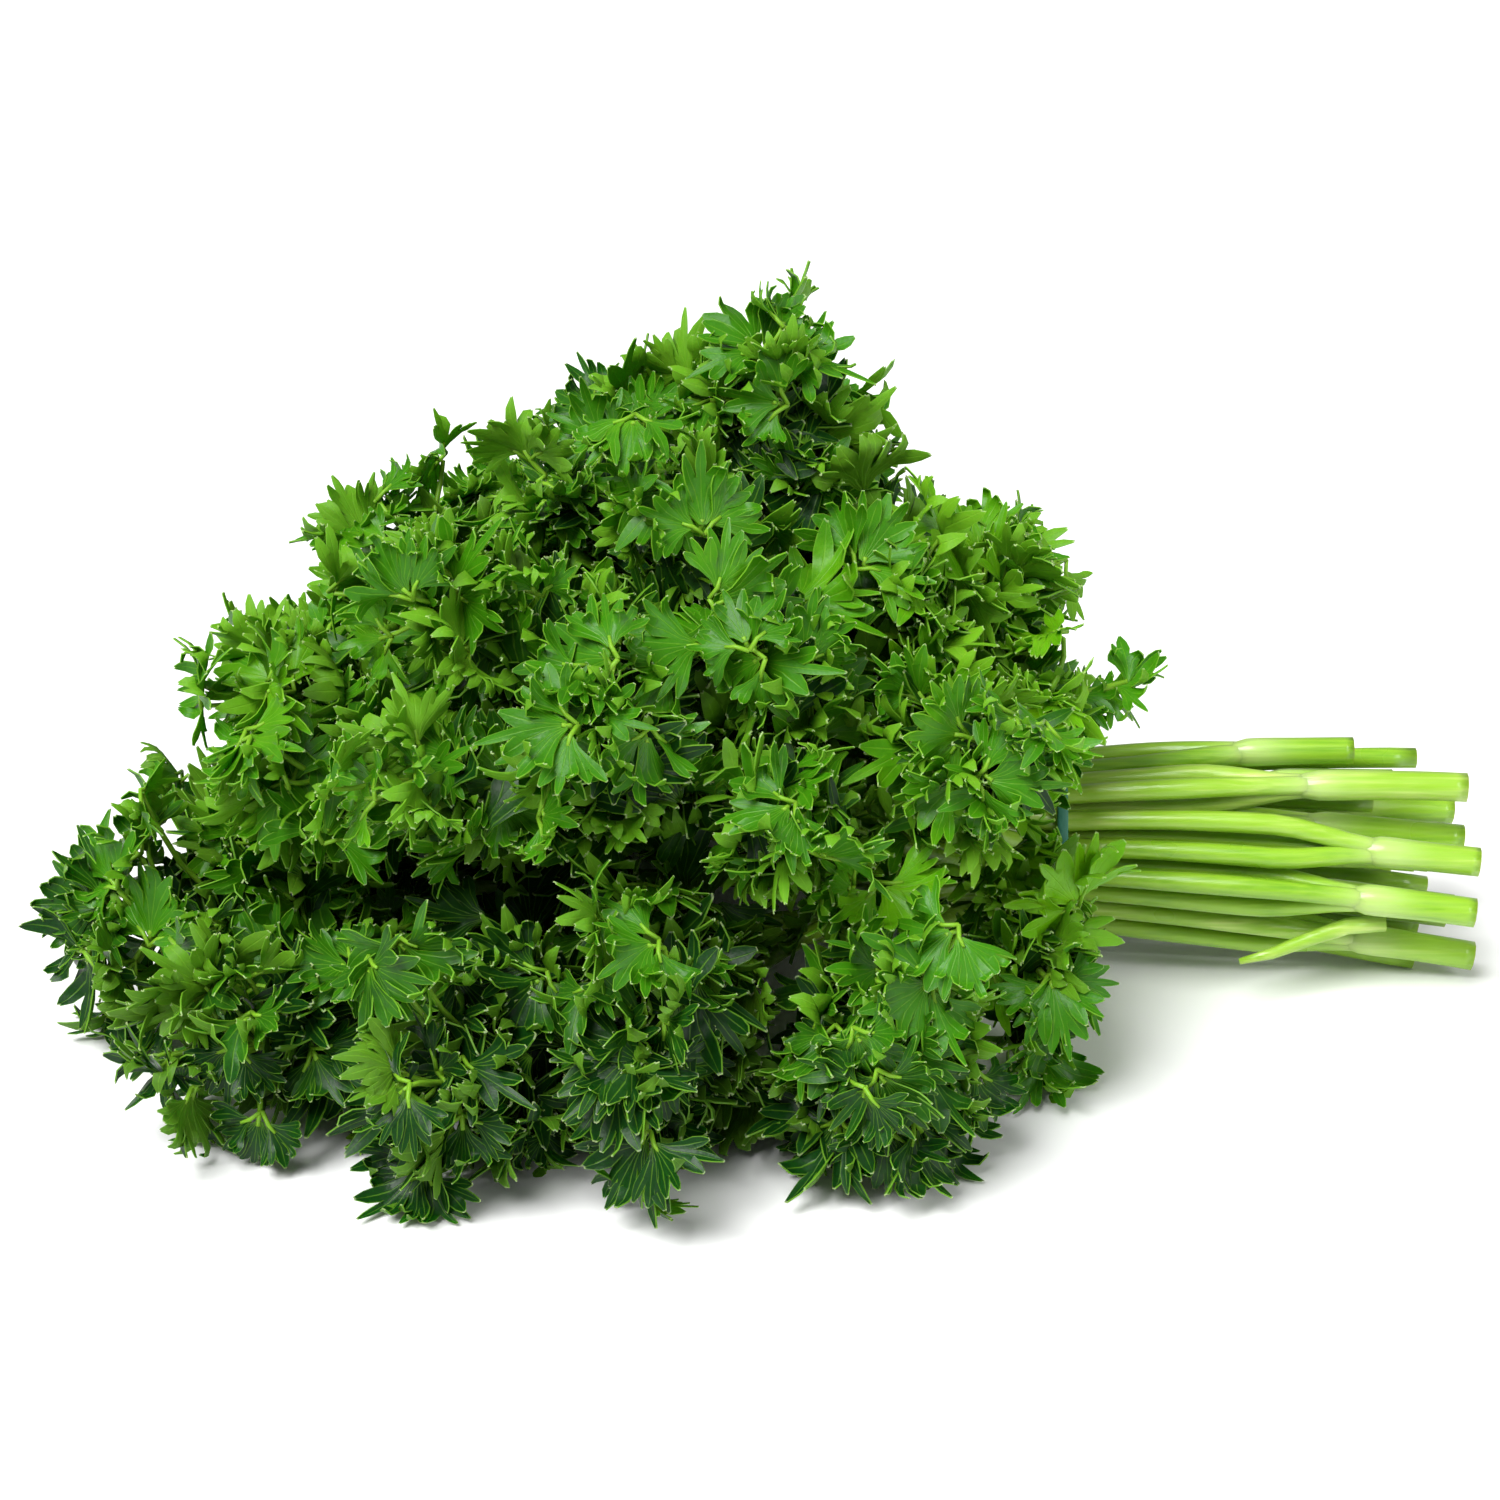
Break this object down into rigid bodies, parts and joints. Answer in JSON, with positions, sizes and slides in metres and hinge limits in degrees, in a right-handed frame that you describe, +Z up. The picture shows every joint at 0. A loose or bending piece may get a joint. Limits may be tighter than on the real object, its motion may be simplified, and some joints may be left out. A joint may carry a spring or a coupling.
{
  "type": "parsley bunch",
  "caption": "Bunch of fresh curly parsley lying on its side, its cut stalks gathered in an elastic band and its curled leaves fanned out in a rounded mound.",
  "frame": {"origin": "middle of the bunch's box, on the surface it lies on", "axes": "+X from the leaves towards the cut ends of the stalks, +Z up, +Y across the bunch"},
  "size_m": [0.2816, 0.2014, 0.1374],
  "materials": {
    "leaf": "soft waxy sheen of a fresh leaf",
    "stem": "smooth moist skin, lightly ribbed",
    "band": "dull elastic"
  },
  "bodies": {
    "root": {"leaf_blade_01": "leaf", "leaf_blade_02": "leaf", "leaf_blade_03": "leaf", "leaf_blade_04": "leaf", "leaf_blade_05": "leaf", "leaf_blade_06": "leaf", "leaf_blade_07": "leaf", "leaf_blade_08": "leaf", "leaf_blade_09": "leaf", "leaf_blade_10": "leaf", "leaf_blade_11": "leaf", "leaf_blade_12": "leaf", "leaf_blade_13": "leaf", "leaf_blade_14": "leaf", "leaf_blade_15": "leaf", "leaf_blade_16": "leaf", "leaf_blade_17": "leaf", "leaf_blade_18": "leaf", "leaf_blade_19": "leaf", "leaf_blade_20": "leaf", "leaf_blade_21": "leaf", "leaf_blade_22": "leaf", "leaf_blade_23": "leaf", "leaf_blade_24": "leaf", "leaf_blade_25": "leaf", "leaf_blade_26": "leaf", "leaf_blade_27": "leaf", "leaf_blade_28": "leaf", "leaf_blade_29": "leaf", "leaf_blade_30": "leaf", "leaf_blade_31": "leaf", "leaf_blade_32": "leaf", "leaf_blade_33": "leaf", "leaf_blade_34": "leaf", "leaf_blade_35": "leaf", "leaf_blade_36": "leaf", "leaf_blade_37": "leaf", "stalk_01": "stem", "stalk_02": "stem", "stalk_03": "stem", "stalk_04": "stem", "stalk_05": "stem", "stalk_06": "stem", "stalk_07": "stem", "stalk_08": "stem", "stalk_09": "stem", "stalk_10": "stem", "stalk_11": "stem", "stalk_12": "stem", "stalk_13": "stem", "stalk_14": "stem", "stalk_15": "stem", "stalk_16": "stem", "stalk_17": "stem", "stalk_18": "stem", "stalk_19": "stem", "stalk_20": "stem", "elastic_band": "band"}
  },
  "joints": []
}
